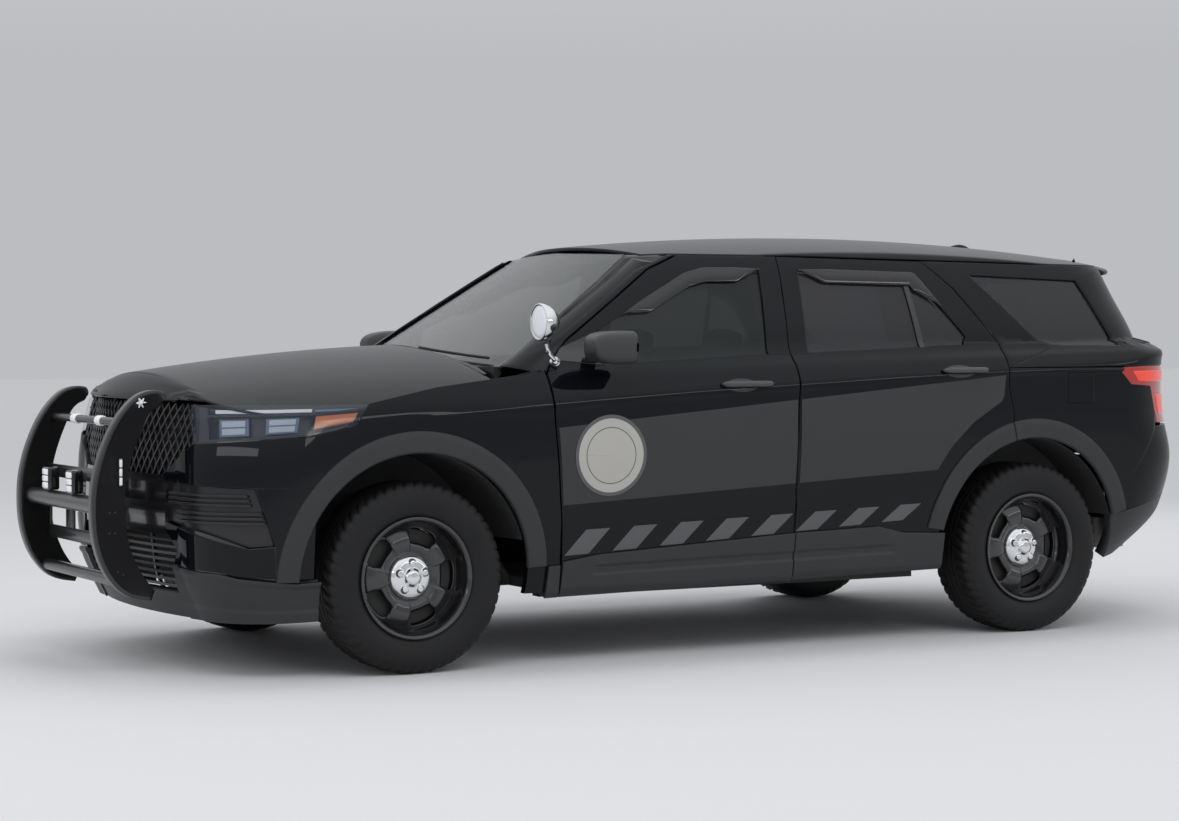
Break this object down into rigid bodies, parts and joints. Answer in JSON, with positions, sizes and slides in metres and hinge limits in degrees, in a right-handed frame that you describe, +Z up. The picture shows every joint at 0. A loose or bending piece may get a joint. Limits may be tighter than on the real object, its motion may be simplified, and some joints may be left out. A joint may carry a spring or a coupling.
{
  "type": "police patrol car",
  "caption": "Black patrol utility car with opening doors, hood, liftgate and fuel flap, steered front wheels, rolling wheels, push bumper and spot lamp.",
  "frame": {"origin": "on the ground below the middle of the car's bounding box", "axes": "+X towards the front bumper, +Y towards the car's left side, +Z up"},
  "size_m": [5.3182, 2.268, 1.7628],
  "materials": {
    "body_paint": "gloss",
    "cladding": "satin",
    "glass": "clear",
    "privacy_glass": "tinted",
    "tyre": "matte",
    "wheel_paint": "gloss",
    "lamp_clear": "clear",
    "lamp_red": "gloss",
    "lamp_white": "gloss",
    "chrome": "polished",
    "push_black": "satin",
    "interior": "matte",
    "seat_cloth": "woven",
    "underbody": "matte",
    "cast_metal": "rough",
    "exhaust_steel": "dull"
  },
  "bodies": {
    "body": {"arch_flares": "cladding", "bumper_valances": "cladding", "centre_posts": "body_paint", "cowl_and_firewall": "cladding", "dashboard": "interior", "engine_block": "cast_metal", "exhaust": "exhaust_steel", "fender_left": "body_paint", "fender_right": "body_paint", "fixed_glass": "privacy_glass", "floor_pan": "underbody", "front_bumper": "body_paint", "front_seats": "seat_cloth", "front_subframe": "underbody", "fuel_tank": "underbody", "grilles": "cladding", "headlamps": "lamp_clear", "push_bumper": "push_black", "push_bumper_lamps": "lamp_white", "rear_bench": "seat_cloth", "rear_bumper": "body_paint", "rear_quarter_left": "body_paint", "rear_quarter_right": "body_paint", "rear_subframe": "underbody", "roof_panel": "body_paint", "screen_pillars": "body_paint", "spot_lamp": "chrome", "tail_lamps": "lamp_red", "wheel_liners": "cladding"},
    "front_door_left_body": {"front_door_left": "body_paint", "front_door_glass_left": "glass", "front_door_trim_left": "cladding", "mirror_left": "cladding"},
    "rear_door_left_body": {"rear_door_left": "body_paint", "rear_door_glass_left": "privacy_glass", "rear_door_trim_left": "cladding"},
    "knuckle_left": {"steering_knuckle_left": "cast_metal"},
    "front_wheel_left": {"tyre_front_left": "tyre", "wheel_front_left": "wheel_paint"},
    "rear_wheel_left": {"tyre_rear_left": "tyre", "wheel_rear_left": "wheel_paint"},
    "front_door_right_body": {"front_door_right": "body_paint", "front_door_glass_right": "glass", "front_door_trim_right": "cladding", "mirror_right": "cladding"},
    "rear_door_right_body": {"rear_door_right": "body_paint", "rear_door_glass_right": "privacy_glass", "rear_door_trim_right": "cladding"},
    "knuckle_right": {"steering_knuckle_right": "cast_metal"},
    "front_wheel_right": {"tyre_front_right": "tyre", "wheel_front_right": "wheel_paint"},
    "rear_wheel_right": {"tyre_rear_right": "tyre", "wheel_rear_right": "wheel_paint"},
    "hood_body": {"hood": "body_paint"},
    "liftgate_body": {"liftgate": "body_paint", "liftgate_glass": "privacy_glass"},
    "fuel_flap_body": {"fuel_flap": "body_paint"},
    "steering_wheel_body": {"steering_wheel": "interior"}
  },
  "joints": [
    {"name": "front_door_left_hinge", "type": "hinge", "parent": "body", "child": "front_door_left_body", "pos_m": [0.8725, 0.981, 0.75], "axis": [0, 0, -1], "range_deg": [0, 65]},
    {"name": "rear_door_left_hinge", "type": "hinge", "parent": "body", "child": "rear_door_left_body", "pos_m": [-0.2775, 0.985, 0.8], "axis": [0, 0, -1], "range_deg": [0, 65]},
    {"name": "left_steer", "type": "hinge", "parent": "body", "child": "knuckle_left", "pos_m": [1.4975, 0.722, 0.376], "axis": [0, 0, 1], "range_deg": [-32, 32]},
    {"name": "front_wheel_left_spin", "type": "hinge", "parent": "knuckle_left", "child": "front_wheel_left", "pos_m": [1.4975, 0.851, 0.376], "axis": [0, 1, 0], "continuous": true},
    {"name": "rear_wheel_left_spin", "type": "hinge", "parent": "body", "child": "rear_wheel_left", "pos_m": [-1.5275, 0.851, 0.376], "axis": [0, 1, 0], "continuous": true},
    {"name": "front_door_right_hinge", "type": "hinge", "parent": "body", "child": "front_door_right_body", "pos_m": [0.8725, -0.981, 0.75], "axis": [0, 0, 1], "range_deg": [0, 65]},
    {"name": "rear_door_right_hinge", "type": "hinge", "parent": "body", "child": "rear_door_right_body", "pos_m": [-0.2775, -0.985, 0.8], "axis": [0, 0, 1], "range_deg": [0, 65]},
    {"name": "right_steer", "type": "hinge", "parent": "body", "child": "knuckle_right", "pos_m": [1.4975, -0.722, 0.376], "axis": [0, 0, 1], "range_deg": [-32, 32]},
    {"name": "front_wheel_right_spin", "type": "hinge", "parent": "knuckle_right", "child": "front_wheel_right", "pos_m": [1.4975, -0.851, 0.376], "axis": [0, 1, 0], "continuous": true},
    {"name": "rear_wheel_right_spin", "type": "hinge", "parent": "body", "child": "rear_wheel_right", "pos_m": [-1.5275, -0.851, 0.376], "axis": [0, 1, 0], "continuous": true},
    {"name": "hood_hinge", "type": "hinge", "parent": "body", "child": "hood_body", "pos_m": [1.0775, 0, 1.25], "axis": [0, -1, 0], "range_deg": [0, 48]},
    {"name": "liftgate_hinge", "type": "hinge", "parent": "body", "child": "liftgate_body", "pos_m": [-2.3355, 0, 1.678], "axis": [0, 1, 0], "range_deg": [0, 80]},
    {"name": "fuel_flap_hinge", "type": "hinge", "parent": "body", "child": "fuel_flap_body", "pos_m": [-1.7195, 0.988, 1.085], "axis": [0, 0, -1], "range_deg": [0, 85]},
    {"name": "steering_wheel_turn", "type": "hinge", "parent": "body", "child": "steering_wheel_body", "pos_m": [0.5375, 0.38, 1.01], "axis": [-0.9135, 0, 0.4067], "range_deg": [-480, 480]}
  ],
  "couplings": [
    {"joint": "right_steer", "follows": "left_steer", "ratio": 1},
    {"joint": "steering_wheel_turn", "follows": "left_steer", "ratio": 15}
  ]
}
